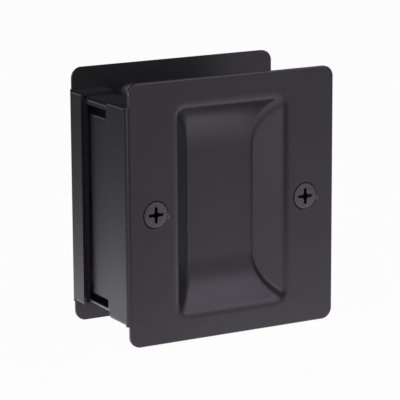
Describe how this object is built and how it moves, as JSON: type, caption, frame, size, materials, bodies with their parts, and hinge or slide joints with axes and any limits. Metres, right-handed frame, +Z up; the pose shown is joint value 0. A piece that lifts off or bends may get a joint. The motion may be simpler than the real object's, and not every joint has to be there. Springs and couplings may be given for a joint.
{
  "type": "pocket door pull",
  "caption": "Pocket door pull: rectangular plates with pressed finger scoops, joined at the door's edge by a telescoping case that holds a flat swinging pull.",
  "frame": {"origin": "middle of the pull, halfway between the plates", "axes": "+X along the plates away from the door's edge, +Y from the plate with the screws to the other plate, +Z up"},
  "size_m": [0.0698, 0.037, 0.078],
  "materials": {
    "satin_black": "satin",
    "screw_black": "satin",
    "plated_steel": "dull plated"
  },
  "bodies": {
    "rear_half": {"rear_plate": "satin_black", "inner_case": "satin_black", "pivot_pin": "plated_steel", "pin_clip": "plated_steel", "threaded_post_left": "plated_steel", "threaded_post_right": "plated_steel"},
    "front_half": {"front_plate": "satin_black", "machine_screw_left": "screw_black", "machine_screw_right": "screw_black"},
    "pull": {"edge_pull": "satin_black"}
  },
  "joints": [
    {"name": "door_thickness_slide", "type": "slide", "parent": "rear_half", "child": "front_half", "axis": [0, -1, 0], "range_m": [0, 0.00953]},
    {"name": "edge_pull_pivot", "type": "hinge", "parent": "rear_half", "child": "pull", "pos_m": [-0.02933, 0.00296, 0.009], "axis": [0, 1, 0], "range_deg": [0, 30]}
  ]
}
